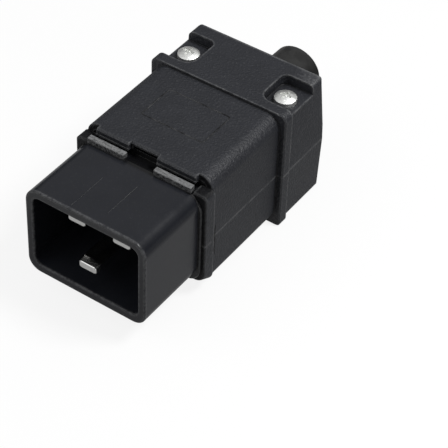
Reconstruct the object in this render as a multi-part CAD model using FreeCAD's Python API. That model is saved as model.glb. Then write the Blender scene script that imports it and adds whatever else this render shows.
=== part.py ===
import FreeCAD, Part
import math
import os

V = FreeCAD.Vector

# Driving dimensions in millimetres.
# X runs across the plug, +Y from the mating face to the cord end, +Z up from the surface it lies on.

# Mating face: three flat pins in a rectangular shroud
PIN_PITCH = 13.0
PIN_ROW_DROP = 8.0
PIN_WIDTH = 5.4
PIN_THICKNESS = 2.4
PIN_EDGE_RADIUS = 0.4
PIN_TIP_LENGTH = 2.0
PIN_TIP_INSET = 0.25
PIN_TIP_RADIUS = 0.6
PIN_TIP_BEVEL = 0.15
LIVE_TIP_RECESS = 5.3
EARTH_TIP_RECESS = 0.9
CAVITY_WIDTH = 30.2
CAVITY_HEIGHT = 20.9
CAVITY_DEPTH = 18.5
CAVITY_TOP_RADIUS = 2.0
CAVITY_BOTTOM_RADIUS = 2.0
SHROUD_SIDE_WALL = 2.15
SHROUD_TOP_WALL = 2.4
SHROUD_BOTTOM_WALL = 2.4
SHROUD_BOTTOM_RADIUS = 3.6
SHROUD_LENGTH = 20.5
SHROUD_LIFT = 6.0
MOUTH_ROUNDING = 0.4

# Insert behind the shroud: step plate, two top ridges, neck and keeper flange
PLATE_LENGTH = 0.7
PLATE_SIDE = 0.75
PLATE_DROP = 1.8
PLATE_BEVEL = 0.25
RIDGE_RISE = 1.6
RIDGE_LENGTH = 1.5
RIDGE_GAP = 8.6
RIDGE_ROUNDING = 0.45
NECK_STEP = 0.7
KEEPER_LENGTH = 2.5
KEEPER_RADIUS = 1.2

# Pin tabs and terminals
TAB_WIDTH = 7.6
LIVE_TAB_LENGTH = 13.5
EARTH_TAB_LENGTH = 22.5
LIVE_SCREW_SETBACK = 8.5
EARTH_SCREW_SETBACK = 19.0
SHELF_MARGIN = 1.2
SHELF_THICKNESS = 3.6
BARRIER_THICKNESS = 2.4
BARRIER_HEIGHT = 6.0
WASHER_SIDE = 6.6
WASHER_THICKNESS = 1.0
TERMINAL_SCREW_REACH = 2.0

# Housing: two shells that part on a level plane
PARTING_HEIGHT = 16.4
WALL = 2.0
BODY_WIDTH = 36.6
BODY_HEIGHT = 32.8
BODY_LIFT = 1.8
BODY_LENGTH = 27.7
BODY_TOP_RADIUS = 3.8
BODY_BOTTOM_RADIUS = 3.3
BODY_BEVEL = 0.3
COLLAR_LENGTH = 3.5
COLLAR_SIDE = 0.7
COLLAR_RAISE = 0.5
COLLAR_FRONT_LIFT = 1.9
COLLAR_BOTTOM_RADIUS = 3.3
COLLAR_TOP_STEP = 3.0
COLLAR_TOP_RADIUS = 1.3
COLLAR_OPENING = 30.2
COLLAR_SILL = 4.2
COLLAR_BEVEL = 0.35
LIP_WIDTH = 28.8
LIP_LENGTH = 1.4
LIP_BEVEL = 0.45
LIP_LEDGE = 0.25
LIP_LEDGE_DROP = 1.4
LIP_NOTCH_WIDTH = 8.2
LIP_NOTCH_OFFSET = -0.8
LIP_NOTCH_DEPTH = 1.1
LIP_WINDOW_FRAME = 0.5
LIP_WINDOW_DEPTH = 3.0
PRY_SLOT_HEIGHT = 10.0
PRY_SLOT_WIDTH = 0.5
PRY_SLOT_DEPTH = 0.9

# Rear section: band, drafted block with corner facets, two screw pockets
BAND_LENGTH = 3.0
BAND_PROUD = 0.3
BAND_TOP_RADIUS = 2.0
BAND_BOTTOM_RADIUS = 1.2
BAND_BEVEL = 0.35
REAR_RISE = 0.8
REAR_LENGTH = 20.6
REAR_WIDTH = 39.4
REAR_LIFT = 1.3
SIDE_DRAFT_TOP = 1.2
SIDE_DRAFT_BOTTOM = 0.4
END_DRAFT_TOP = 2.1
END_DRAFT_BOTTOM = 1.9
FACET_ACROSS = 3.0
FACET_ALONG = 5.0
TOP_FACET_ACROSS = 2.4
TOP_FACET_ALONG = 3.6
BOTTOM_FACET_ACROSS = 8.2
BOTTOM_FACET_ALONG = 3.4
TOP_CHAMFER = 3.1
REAR_TOP_RADIUS = 1.6
REAR_ROUNDING = 0.9
POCKET_DEPTH = 2.8
POCKET_LENGTH = 11.2
POCKET_INNER = 20.4
POCKET_FRONT_RADIUS = 3.0
POCKET_BACK_RADIUS = 1.8
REAR_CHAMBER_WIDTH = 32.0
REAR_CHAMBER_FLOOR = 3.5
POCKET_FLOOR_WALL = 2.4
REAR_WALL = 7.0

# Fasteners
SCREW_DIAMETER = 3.0
SCREW_HEAD_DIAMETER = 5.6
SCREW_HEAD_HEIGHT = 2.0
SCREW_DOME = 0.8
DRIVE_LENGTH = 3.0
DRIVE_WIDTH = 0.8
DRIVE_DEPTH = 1.1
SHELL_SCREW_INSET = 5.3
SHELL_SCREW_SETBACK = 8.3
SHELL_SCREW_GRIP = 9.0
BOSS_DIAMETER = 8.0

# Cord grip
GRIP_SETBACK = 1.7
GRIP_SPREAD = 20.0
GRIP_WIDTH = 5.0
GRIP_THICKNESS = 2.4
GRIP_END = 3.4
GRIP_HEIGHT = 15.8
GRIP_CORD_RADIUS = 4.8
GRIP_SCREW_GRIP = 7.0
POST_DIAMETER = 6.4

# Boot
BOOT_AXIS_HEIGHT = 17.4
BOOT_LENGTH = 14.0
BOOT_BASE_DIAMETER = 14.4
BOOT_END_DIAMETER = 13.9
BOOT_BORE = 10.5
BOOT_MOUTH_BORE = 12.0
BOOT_MOUTH_DEPTH = 3.0
BOOT_MOUTH_BEVEL = 0.4
BOOT_FLANGE_DIAMETER = 18.0
BOOT_FLANGE_LENGTH = 2.4
BOOT_FLANGE_INSET = 1.5

# Clearances
FIT = 0.15
SCREW_CLEARANCE = 0.2
WELL_CLEARANCE = 0.5

# Stations along Y, from the mouth of the shroud to the end of the boot
rear_block_length = BAND_LENGTH + REAR_LENGTH
overall_length = SHROUD_LENGTH + PLATE_LENGTH + COLLAR_LENGTH + BODY_LENGTH + rear_block_length + BOOT_LENGTH
mouth_y = -overall_length / 2
plate_y = mouth_y + SHROUD_LENGTH
collar_y = plate_y + PLATE_LENGTH
body_y = collar_y + COLLAR_LENGTH
band_y = body_y + BODY_LENGTH
rear_y = band_y + BAND_LENGTH
end_y = rear_y + REAR_LENGTH
keeper_y = body_y + FIT
keeper_back_y = keeper_y + KEEPER_LENGTH
rear_wall_y = end_y - REAR_WALL
shell_screw_y = band_y + SHELL_SCREW_SETBACK
grip_y = band_y + GRIP_SETBACK
lip_y = body_y - LIP_LENGTH
notch_y = lip_y + LIP_NOTCH_DEPTH

# Levels along Z
shroud_height = CAVITY_HEIGHT + SHROUD_TOP_WALL + SHROUD_BOTTOM_WALL
shroud_top = SHROUD_LIFT + shroud_height
cavity_low = SHROUD_LIFT + SHROUD_BOTTOM_WALL
cavity_high = cavity_low + CAVITY_HEIGHT
cavity_mid = (cavity_low + cavity_high) / 2
live_z = cavity_mid + PIN_ROW_DROP / 2
earth_z = cavity_mid - PIN_ROW_DROP / 2
body_top = BODY_LIFT + BODY_HEIGHT
rear_top = body_top + REAR_RISE
collar_low = BODY_LIFT + COLLAR_RAISE
collar_top = body_top - COLLAR_TOP_STEP
chamber_low = BODY_LIFT + WALL
chamber_high = body_top - WALL
pocket_floor = rear_top - POCKET_DEPTH
rear_chamber_top = pocket_floor - POCKET_FLOOR_WALL

# Stations and half widths along X
shroud_half = CAVITY_WIDTH / 2 + SHROUD_SIDE_WALL
body_half = BODY_WIDTH / 2
collar_half = body_half + COLLAR_SIDE
chamber_half = body_half - WALL
neck_half = COLLAR_OPENING / 2 - FIT
band_half = REAR_WIDTH / 2 + BAND_PROUD
boss_x = REAR_WIDTH / 2 - SHELL_SCREW_INSET
notch_low = LIP_NOTCH_OFFSET - LIP_NOTCH_WIDTH / 2
notch_high = LIP_NOTCH_OFFSET + LIP_NOTCH_WIDTH / 2

REACH = 2 * overall_length


def box(x_low, x_high, y_low, y_high, z_low, z_high):
    return Part.makeBox(x_high - x_low, y_high - y_low, z_high - z_low, V(x_low, y_low, z_low))


def upright_cylinder(diameter, z_low, z_high, x, y):
    return Part.makeCylinder(diameter / 2, z_high - z_low, V(x, y, z_low))


def mirrored(shape):
    return shape.mirror(V(0, 0, 0), V(1, 0, 0))


def joined(shapes):
    return shapes[0].fuse(shapes[1:]).removeSplitter()


def section(half_width, low, high, low_radius, high_radius, y, x=0.0):
    """Closed outline across the plug: a rectangle with its own lower and upper corner radii."""
    corners = (
        (half_width, low, low_radius, -45),
        (half_width, high, high_radius, 45),
        (-half_width, high, high_radius, 135),
        (-half_width, low, low_radius, 225),
    )
    arcs = []
    for corner_x, corner_z, radius, angle in corners:
        centre_x = x + corner_x - math.copysign(radius, corner_x)
        centre_z = corner_z + (radius if corner_z == low else -radius)
        turn = [math.radians(angle + step) for step in (-45, 0, 45)]
        arcs.append([V(centre_x + radius * math.cos(a), y, centre_z + radius * math.sin(a)) for a in turn])
    edges = []
    for index, arc in enumerate(arcs):
        edges.append(Part.Arc(*arc).toShape())
        edges.append(Part.LineSegment(arc[2], arcs[(index + 1) % 4][0]).toShape())
    return Part.Wire(edges)


def prism(half_width, low, high, low_radius, high_radius, y_low, y_high):
    outline = section(half_width, low, high, low_radius, high_radius, y_low)
    return Part.Face(outline).extrude(V(0, y_high - y_low, 0))


def edges_at(shape, y):
    """Edges that lie wholly in the plane across the plug at y."""
    near = 1e-4
    return [e for e in shape.Edges if all(abs(e.valueAt(t).y - y) < near for t in
                                          (e.FirstParameter, e.LastParameter, sum(e.ParameterRange) / 2))]


# Contact insert: shroud, plate, ridges, neck, keeper and terminal shelves in one moulding
def pin_slot(x, z):
    return box(x - PIN_WIDTH / 2 - FIT, x + PIN_WIDTH / 2 + FIT, mouth_y, keeper_back_y,
               z - PIN_THICKNESS / 2 - FIT, z + PIN_THICKNESS / 2 + FIT)


def terminal_shelf(half_width, z, length):
    top = z - PIN_THICKNESS / 2
    return box(-half_width, half_width, keeper_y, keeper_back_y + length, top - SHELF_THICKNESS, top)


def screw_well(x, z, setback):
    top = z - PIN_THICKNESS / 2
    depth = TERMINAL_SCREW_REACH + WELL_CLEARANCE
    return upright_cylinder(SCREW_DIAMETER + 2 * WELL_CLEARANCE, top - depth, top, x, keeper_back_y + setback)


def contact_insert():
    top_radius = CAVITY_TOP_RADIUS + SHROUD_SIDE_WALL
    shroud = prism(shroud_half, SHROUD_LIFT, shroud_top, SHROUD_BOTTOM_RADIUS, top_radius, mouth_y, collar_y)
    cavity = prism(CAVITY_WIDTH / 2, cavity_low, cavity_high, CAVITY_BOTTOM_RADIUS, CAVITY_TOP_RADIUS,
                   mouth_y, mouth_y + CAVITY_DEPTH)
    shroud = shroud.cut(cavity)
    shroud = shroud.makeFillet(MOUTH_ROUNDING, edges_at(shroud, mouth_y))

    plate_radius = SHROUD_BOTTOM_RADIUS + PLATE_SIDE
    plate = prism(shroud_half + PLATE_SIDE, SHROUD_LIFT - PLATE_DROP, shroud_top - NECK_STEP, plate_radius,
                  top_radius, plate_y, collar_y)
    plate = plate.makeChamfer(PLATE_BEVEL, edges_at(plate, plate_y))
    sill = collar_low + COLLAR_SILL + FIT
    neck_top = shroud_top - NECK_STEP
    neck = box(-neck_half, neck_half, plate_y, keeper_y, sill, neck_top)
    keeper = prism(chamber_half - FIT, chamber_low + FIT, chamber_high - FIT, KEEPER_RADIUS, KEEPER_RADIUS,
                   keeper_y, keeper_back_y)

    ridge_top = shroud_top + RIDGE_RISE
    ridge = box(RIDGE_GAP / 2, neck_half, plate_y, plate_y + RIDGE_LENGTH, neck_top - NECK_STEP, ridge_top)
    front_edge = [e for e in edges_at(ridge, plate_y) if e.CenterOfMass.z > ridge_top - FIT]
    ridge = ridge.makeFillet(RIDGE_ROUNDING, front_edge)

    live_half = PIN_PITCH / 2 + TAB_WIDTH / 2 + SHELF_MARGIN
    live_shelf = terminal_shelf(live_half, live_z, LIVE_TAB_LENGTH + SHELF_MARGIN)
    earth_shelf = terminal_shelf(TAB_WIDTH / 2 + SHELF_MARGIN, earth_z, EARTH_TAB_LENGTH + SHELF_MARGIN)
    barrier_low = live_z - PIN_THICKNESS / 2
    barrier = box(-BARRIER_THICKNESS / 2, BARRIER_THICKNESS / 2, keeper_y,
                  keeper_back_y + LIVE_TAB_LENGTH + SHELF_MARGIN, barrier_low - FIT, barrier_low + BARRIER_HEIGHT)

    solid = joined([shroud, plate, neck, keeper, ridge, mirrored(ridge), live_shelf, earth_shelf, barrier])
    cuts = []
    for x, z, setback in terminals().values():
        cuts.append(pin_slot(x, z))
        cuts.append(screw_well(x, z, setback))
    return solid.cut(cuts)


# Pins: a blade with a tapered tip, and a wider tab behind the keeper that takes the wire screw
def terminals():
    return {
        "line": (-PIN_PITCH / 2, live_z, LIVE_SCREW_SETBACK),
        "neutral": (PIN_PITCH / 2, live_z, LIVE_SCREW_SETBACK),
        "earth": (0.0, earth_z, EARTH_SCREW_SETBACK),
    }


def pin(x, z, setback, recess, tab_length):
    half_width = PIN_WIDTH / 2
    half_height = PIN_THICKNESS / 2
    tip_y = mouth_y + recess
    shaft_y = tip_y + PIN_TIP_LENGTH
    shaft = section(half_width, z - half_height, z + half_height, PIN_EDGE_RADIUS, PIN_EDGE_RADIUS, shaft_y, x)
    tip = section(half_width - PIN_TIP_INSET, z - half_height + PIN_TIP_INSET, z + half_height - PIN_TIP_INSET,
                  PIN_TIP_RADIUS, PIN_TIP_RADIUS, tip_y, x)
    blade = Part.Face(shaft).extrude(V(0, keeper_back_y + half_height - shaft_y, 0))
    point = Part.makeLoft([tip, shaft], True, True)
    point = point.makeChamfer(PIN_TIP_BEVEL, edges_at(point, tip_y))
    tab = box(x - TAB_WIDTH / 2, x + TAB_WIDTH / 2, keeper_back_y, keeper_back_y + tab_length,
              z - half_height, z + half_height)
    hole = upright_cylinder(SCREW_DIAMETER + 2 * SCREW_CLEARANCE, z - PIN_THICKNESS, z + PIN_THICKNESS,
                            x, keeper_back_y + setback)
    return joined([blade, point, tab]).cut(hole)


# Fasteners
def pan_screw(x, y, seat_z, shank_length):
    """Pan-head screw with a cross recess, its head standing on seat_z and its shank below."""
    radius = SCREW_DIAMETER / 2
    head = SCREW_HEAD_DIAMETER / 2
    top = seat_z + SCREW_HEAD_HEIGHT
    tip = seat_z - shank_length
    shoulder = V(x + head, y, top - SCREW_DOME)
    crown = V(x, y, top)
    sphere_radius = (head ** 2 + SCREW_DOME ** 2) / (2 * SCREW_DOME)
    half_angle = math.asin(head / sphere_radius) / 2
    dome_centre = top - sphere_radius
    between = V(x + sphere_radius * math.sin(half_angle), y, dome_centre + sphere_radius * math.cos(half_angle))
    outline = [V(x, y, top), V(x, y, tip), V(x + radius / 2, y, tip), V(x + radius, y, tip + radius / 2),
               V(x + radius, y, seat_z), V(x + head, y, seat_z), shoulder]
    edges = [Part.LineSegment(a, b).toShape() for a, b in zip(outline, outline[1:])]
    edges.append(Part.Arc(shoulder, between, crown).toShape())
    solid = Part.Face(Part.Wire(edges)).revolve(V(x, y, 0), V(0, 0, 1), 360)
    arm = DRIVE_LENGTH / 2
    half = DRIVE_WIDTH / 2
    recess = box(x - arm, x + arm, y - half, y + half, top - DRIVE_DEPTH, top)
    crossing = box(x - half, x + half, y - arm, y + arm, top - DRIVE_DEPTH, top)
    return solid.cut([recess, crossing])


def slotted_screw(x, y, seat_z, shank_length):
    """Flat-topped slotted screw, its head standing on seat_z and its shank below."""
    top = seat_z + SCREW_HEAD_HEIGHT
    head = upright_cylinder(SCREW_HEAD_DIAMETER, seat_z, top, x, y)
    shank = upright_cylinder(SCREW_DIAMETER, seat_z - shank_length, seat_z, x, y)
    slot = box(x - SCREW_HEAD_DIAMETER, x + SCREW_HEAD_DIAMETER, y - DRIVE_WIDTH / 2, y + DRIVE_WIDTH / 2,
               top - DRIVE_DEPTH, top)
    return head.fuse(shank).cut(slot)


def clamp_washer(x, z, setback):
    low = z + PIN_THICKNESS / 2
    y = keeper_back_y + setback
    half = WASHER_SIDE / 2
    plate = box(x - half, x + half, y - half, y + half, low, low + WASHER_THICKNESS)
    return plate.cut(upright_cylinder(SCREW_DIAMETER + 2 * SCREW_CLEARANCE, low, low + WASHER_THICKNESS, x, y))


# Cord grip bar: flat ends on the lower shell's posts, arched over the cord
def cord_grip_bar():
    half_length = GRIP_SPREAD / 2 + GRIP_END
    y_low = grip_y - GRIP_WIDTH / 2
    y_high = grip_y + GRIP_WIDTH / 2
    flat = box(-half_length, half_length, y_low, y_high, GRIP_HEIGHT, GRIP_HEIGHT + GRIP_THICKNESS)
    crown = Part.makeCylinder(GRIP_CORD_RADIUS + GRIP_THICKNESS, GRIP_WIDTH, V(0, y_low, GRIP_HEIGHT), V(0, 1, 0))
    crown = crown.common(box(-REACH, REACH, y_low, y_high, GRIP_HEIGHT, REACH))
    passage = Part.makeCylinder(GRIP_CORD_RADIUS, GRIP_WIDTH, V(0, y_low, GRIP_HEIGHT), V(0, 1, 0))
    holes = [upright_cylinder(SCREW_DIAMETER + 2 * SCREW_CLEARANCE, GRIP_HEIGHT, GRIP_HEIGHT + GRIP_THICKNESS,
                              side * GRIP_SPREAD / 2, grip_y) for side in (-1, 1)]
    return joined([flat, crown]).cut([passage] + holes)


# Boot: rubber sleeve with a flange held in the rear wall
def boot_profile():
    start = rear_wall_y
    flange_low = start + BOOT_FLANGE_INSET
    flange_high = flange_low + BOOT_FLANGE_LENGTH
    finish = end_y + BOOT_LENGTH
    mouth = finish - BOOT_MOUTH_DEPTH
    return [
        (BOOT_BORE / 2, start),
        (BOOT_BASE_DIAMETER / 2, start),
        (BOOT_BASE_DIAMETER / 2, flange_low),
        (BOOT_FLANGE_DIAMETER / 2, flange_low),
        (BOOT_FLANGE_DIAMETER / 2, flange_high),
        (BOOT_BASE_DIAMETER / 2, flange_high),
        (BOOT_BASE_DIAMETER / 2, end_y),
        (BOOT_END_DIAMETER / 2, finish - BOOT_MOUTH_BEVEL),
        (BOOT_END_DIAMETER / 2 - BOOT_MOUTH_BEVEL, finish),
        (BOOT_MOUTH_BORE / 2, finish),
        (BOOT_MOUTH_BORE / 2, mouth),
        (BOOT_BORE / 2, mouth),
    ]


def turned_along_cord(profile):
    points = [V(r, y, BOOT_AXIS_HEIGHT) for r, y in profile + profile[:1]]
    return Part.Face(Part.makePolygon(points)).revolve(V(0, 0, BOOT_AXIS_HEIGHT), V(0, 1, 0), 360)


def cable_boot():
    return turned_along_cord(boot_profile())


def boot_seat():
    """Room for the boot in the rear wall."""
    hole = BOOT_BASE_DIAMETER / 2 + FIT
    groove = BOOT_FLANGE_DIAMETER / 2 + FIT
    flange_low = rear_wall_y + BOOT_FLANGE_INSET - FIT
    flange_high = rear_wall_y + BOOT_FLANGE_INSET + BOOT_FLANGE_LENGTH + FIT
    return turned_along_cord([
        (0.0, rear_wall_y - REAR_WALL),
        (hole, rear_wall_y - REAR_WALL),
        (hole, flange_low),
        (groove, flange_low),
        (groove, flange_high),
        (hole, flange_high),
        (hole, end_y + REAR_WALL),
        (0.0, end_y + REAR_WALL),
    ])


# Housing before it is parted into two shells
def plan_outline(half_width, facet_across, facet_along, back_y, z):
    side = [V(half_width, band_y, z), V(half_width, back_y - facet_along, z),
            V(half_width - facet_across, back_y, z)]
    other = [V(-p.x, p.y, z) for p in reversed(side)]
    return Part.makePolygon(side + other + side[:1])


def runs_along(edge):
    """Whether an edge is straight and parallel to the plug's length."""
    return abs(edge.tangentAt(edge.FirstParameter).y) > 1 - 1e-6


def rear_envelope():
    """Drafted bar with wide roundings along its two top edges."""
    half = REAR_WIDTH / 2
    top_half = half - SIDE_DRAFT_TOP
    outline = [V(-half, band_y, PARTING_HEIGHT), V(half, band_y, PARTING_HEIGHT),
               V(top_half, band_y, rear_top), V(-top_half, band_y, rear_top)]
    bar = Part.Face(Part.makePolygon(outline + outline[:1])).extrude(V(0, REACH, 0))
    top_edges = [e for e in bar.Edges if runs_along(e) and e.CenterOfMass.z > rear_top - FIT]
    return bar.makeFillet(REAR_TOP_RADIUS, top_edges)


def rear_block():
    """Drafted block: its widest outline lies on the parting plane, and it narrows up and down."""
    half = REAR_WIDTH / 2
    middle = plan_outline(half, FACET_ACROSS, FACET_ALONG, end_y, PARTING_HEIGHT)
    top = plan_outline(half - SIDE_DRAFT_TOP, TOP_FACET_ACROSS, TOP_FACET_ALONG, end_y - END_DRAFT_TOP, rear_top)
    bottom = plan_outline(half - SIDE_DRAFT_BOTTOM, BOTTOM_FACET_ACROSS, BOTTOM_FACET_ALONG,
                          end_y - END_DRAFT_BOTTOM, REAR_LIFT)
    upper = Part.makeLoft([middle, top], True, True)
    lower = Part.makeLoft([bottom, middle], True, True)
    chamfer_y = end_y - END_DRAFT_TOP - TOP_CHAMFER
    slope = Part.makePolygon([V(-REACH, chamfer_y, rear_top), V(-REACH, chamfer_y + REACH, rear_top),
                              V(-REACH, chamfer_y + REACH, rear_top - REACH), V(-REACH, chamfer_y, rear_top)])
    upper = upper.cut(Part.Face(slope).extrude(V(2 * REACH, 0, 0)))
    upper = upper.common(rear_envelope())
    front_edges = edges_at(upper, band_y)
    seam_z = PARTING_HEIGHT + FIT
    outer = [e for e in upper.Edges if e.CenterOfMass.z > seam_z and not runs_along(e)
             and not any(e.isSame(f) for f in front_edges)]
    return upper.makeFillet(REAR_ROUNDING, outer).fuse(lower)


def collar():
    front = section(collar_half, collar_low + COLLAR_FRONT_LIFT, collar_top, COLLAR_BOTTOM_RADIUS,
                    COLLAR_TOP_RADIUS, collar_y)
    back = section(collar_half, collar_low, collar_top, COLLAR_BOTTOM_RADIUS, COLLAR_TOP_RADIUS, body_y)
    band = Part.makeLoft([front, back], True, True)
    band = band.makeChamfer(COLLAR_BEVEL, edges_at(band, collar_y))
    opening = box(-COLLAR_OPENING / 2, COLLAR_OPENING / 2, collar_y, body_y, collar_low + COLLAR_SILL, REACH)
    return band.cut(opening)


def lip():
    """Front edge of the upper shell's roof: notched in the middle, with a low ledge along its foot."""
    roof = box(-LIP_WIDTH / 2, LIP_WIDTH / 2, lip_y, body_y + WALL, chamber_high, body_top)
    ledge = box(-LIP_WIDTH / 2, LIP_WIDTH / 2, lip_y - LIP_LEDGE, body_y, chamber_high, body_top - LIP_LEDGE_DROP)
    notch = box(notch_low, notch_high, lip_y - LIP_LEDGE, notch_y, chamber_high, body_top)
    roof = roof.fuse(ledge).cut(notch)
    front_edges = [e for e in roof.Edges if abs(e.CenterOfMass.z - body_top) < FIT
                   and e.CenterOfMass.y < body_y and abs(e.tangentAt(e.FirstParameter).x) > math.sqrt(0.5)]
    return roof.makeChamfer(LIP_BEVEL, front_edges)


def lip_window():
    """Opening behind the lip's notch, under a thin rim of the roof."""
    return box(notch_low + LIP_WINDOW_FRAME, notch_high - LIP_WINDOW_FRAME, lip_y, notch_y + LIP_WINDOW_DEPTH,
               chamber_high, body_top - LIP_BEVEL - LIP_WINDOW_FRAME)


def pry_slot():
    return box(body_half - PRY_SLOT_DEPTH, REACH, body_y, body_y + PRY_SLOT_WIDTH,
               PARTING_HEIGHT - PRY_SLOT_HEIGHT / 2, PARTING_HEIGHT + PRY_SLOT_HEIGHT / 2)


def screw_pocket():
    """Corner recess for a shell screw, open to the side and round in its inner corners."""
    recess = box(POCKET_INNER / 2, REACH, rear_y, rear_y + POCKET_LENGTH, pocket_floor, REACH)
    inner = [e for e in recess.Edges if abs(e.CenterOfMass.x - POCKET_INNER / 2) < FIT
             and abs(e.tangentAt(e.FirstParameter).z) > math.sqrt(0.5)]
    front, back = sorted(inner, key=lambda e: e.CenterOfMass.y)
    recess = recess.makeFillet(POCKET_FRONT_RADIUS, [front])
    back = [e for e in recess.Edges if e.CenterOfMass.isEqual(back.CenterOfMass, FIT)]
    return recess.makeFillet(POCKET_BACK_RADIUS, back)


def housing():
    body = prism(body_half, BODY_LIFT, body_top, BODY_BOTTOM_RADIUS, BODY_TOP_RADIUS, body_y, rear_y)
    body = body.makeChamfer(BODY_BEVEL, edges_at(body, body_y))
    band = prism(band_half, 0.0, rear_top, BAND_BOTTOM_RADIUS, BAND_TOP_RADIUS, band_y, rear_y)
    band = band.makeChamfer(BAND_BEVEL, edges_at(band, band_y))
    outside = joined([body, band, rear_block(), collar(), lip()])

    chamber = prism(chamber_half, chamber_low, chamber_high, KEEPER_RADIUS, KEEPER_RADIUS, body_y, rear_y)
    rear_chamber = box(-REAR_CHAMBER_WIDTH / 2, REAR_CHAMBER_WIDTH / 2, band_y, rear_wall_y,
                       REAR_CHAMBER_FLOOR, rear_chamber_top)
    chamber = chamber.common(box(-REACH, REACH, -REACH, band_y, -REACH, REACH)).fuse(rear_chamber)
    bosses = [upright_cylinder(BOSS_DIAMETER, REAR_CHAMBER_FLOOR, rear_chamber_top, side * boss_x, shell_screw_y)
              for side in (-1, 1)]
    hollow = outside.cut(chamber.cut(bosses))
    return hollow.cut([boot_seat(), screw_pocket(), mirrored(screw_pocket()), pry_slot(), mirrored(pry_slot()),
                       lip_window()])


def upper_shell(whole):
    half = whole.common(box(-REACH, REACH, -REACH, REACH, PARTING_HEIGHT, REACH))
    holes = [upright_cylinder(SCREW_DIAMETER + 2 * SCREW_CLEARANCE, PARTING_HEIGHT, pocket_floor,
                              side * boss_x, shell_screw_y) for side in (-1, 1)]
    return half.cut(holes)


def lower_shell(whole):
    half = whole.common(box(-REACH, REACH, -REACH, REACH, -REACH, PARTING_HEIGHT))
    post_floor = BODY_LIFT + WALL / 2
    posts = [upright_cylinder(POST_DIAMETER, post_floor, GRIP_HEIGHT, side * GRIP_SPREAD / 2, grip_y)
             for side in (-1, 1)]
    half = joined([half] + posts)
    hole = SCREW_DIAMETER + 2 * SCREW_CLEARANCE
    holes = []
    for side in (-1, 1):
        holes.append(upright_cylinder(hole, PARTING_HEIGHT - SHELL_SCREW_GRIP - WELL_CLEARANCE, PARTING_HEIGHT,
                                      side * boss_x, shell_screw_y))
        holes.append(upright_cylinder(hole, GRIP_HEIGHT - GRIP_SCREW_GRIP - WELL_CLEARANCE, GRIP_HEIGHT,
                                      side * GRIP_SPREAD / 2, grip_y))
    return half.cut(holes)


def build():
    nodes = {}
    whole = housing()
    nodes["upper_shell"] = upper_shell(whole)
    nodes["lower_shell"] = lower_shell(whole)
    nodes["contact_insert"] = contact_insert()
    for name, (x, z, setback) in terminals().items():
        recess = EARTH_TIP_RECESS if name == "earth" else LIVE_TIP_RECESS
        tab_length = EARTH_TAB_LENGTH if name == "earth" else LIVE_TAB_LENGTH
        nodes[name + "_pin"] = pin(x, z, setback, recess, tab_length)
        nodes[name + "_clamp_washer"] = clamp_washer(x, z, setback)
        seat = z + PIN_THICKNESS / 2 + WASHER_THICKNESS
        reach = WASHER_THICKNESS + PIN_THICKNESS + TERMINAL_SCREW_REACH
        nodes[name + "_terminal_screw"] = slotted_screw(x, keeper_back_y + setback, seat, reach)
    nodes["cord_grip_bar"] = cord_grip_bar()
    nodes["cable_boot"] = cable_boot()
    for side, name in ((-1, "left"), (1, "right")):
        nodes["cord_grip_screw_" + name] = slotted_screw(side * GRIP_SPREAD / 2, grip_y,
                                                         GRIP_HEIGHT + GRIP_THICKNESS,
                                                         GRIP_THICKNESS + GRIP_SCREW_GRIP)
        nodes["shell_screw_" + name] = pan_screw(side * boss_x, shell_screw_y, pocket_floor,
                                                 pocket_floor - PARTING_HEIGHT + SHELL_SCREW_GRIP)
    return nodes


def main():
    os.makedirs("parts", exist_ok=True)
    for name, shape in build().items():
        shape.exportStep("parts/" + name + ".step")


main()
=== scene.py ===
"""Looks of a black rewireable power plug: moulded housing, shrouded pins, plated screws and a rubber boot."""

import math

import bpy
from bpy.props import FloatProperty, FloatVectorProperty, PointerProperty
from mathutils import Matrix, Vector


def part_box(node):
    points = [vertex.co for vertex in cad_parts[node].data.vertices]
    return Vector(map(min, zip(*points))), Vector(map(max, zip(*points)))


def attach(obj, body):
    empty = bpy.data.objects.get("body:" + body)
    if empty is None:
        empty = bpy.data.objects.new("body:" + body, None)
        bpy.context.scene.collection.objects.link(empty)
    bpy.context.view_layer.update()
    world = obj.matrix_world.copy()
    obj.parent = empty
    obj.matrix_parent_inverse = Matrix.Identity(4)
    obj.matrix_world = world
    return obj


bl_info = {
    "name": "Power plug looks",
    "version": (1, 0, 0),
    "blender": (4, 5, 0),
    "location": "View3D > Sidebar > Plug",
    "description": "Finishes a black rewireable power plug and sets its studio",
    "category": "Object",
}

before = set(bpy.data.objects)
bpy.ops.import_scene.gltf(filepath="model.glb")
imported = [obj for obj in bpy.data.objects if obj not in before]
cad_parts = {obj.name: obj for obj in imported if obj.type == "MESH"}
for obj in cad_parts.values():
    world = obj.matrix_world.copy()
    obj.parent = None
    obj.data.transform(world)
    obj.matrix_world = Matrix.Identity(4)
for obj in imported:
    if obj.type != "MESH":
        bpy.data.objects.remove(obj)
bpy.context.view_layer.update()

MM = 0.001
PICTURE_PX = 448.0
SENSOR_MM = 36.0

SHELLS = ("upper_shell", "lower_shell")
PINS = ("line_pin", "neutral_pin", "earth_pin")
WASHERS = ("line_clamp_washer", "neutral_clamp_washer", "earth_clamp_washer")
SHELL_SCREWS = ("shell_screw_left", "shell_screw_right")
INNER_SCREWS = ("line_terminal_screw", "neutral_terminal_screw", "earth_terminal_screw",
                "cord_grip_screw_left", "cord_grip_screw_right")

collar_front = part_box("upper_shell")[0].y
ridge_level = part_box("contact_insert")[1].z

# Parts of a noise, or of the open sky over a point, that a mask is cut from
UNIT = (0.0, 1.0)
GRAIN_SPAN = (0.3, 0.7)
SPECK_SPAN = (0.60, 0.74)
CLOUD_SPAN = (0.32, 0.68)
STREAK_SPAN = (0.36, 0.66)
CORNER_SPAN = (0.35, 0.65)
SEAM_SPAN = (0.38, 0.52)
BREAK_SPAN = (0.34, 0.60)
EDGE_SPAN = (0.95, 0.70)
RECESS_SPAN = (0.78, 0.36)
SKY_SPAN = (0.18, 0.62)

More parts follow.
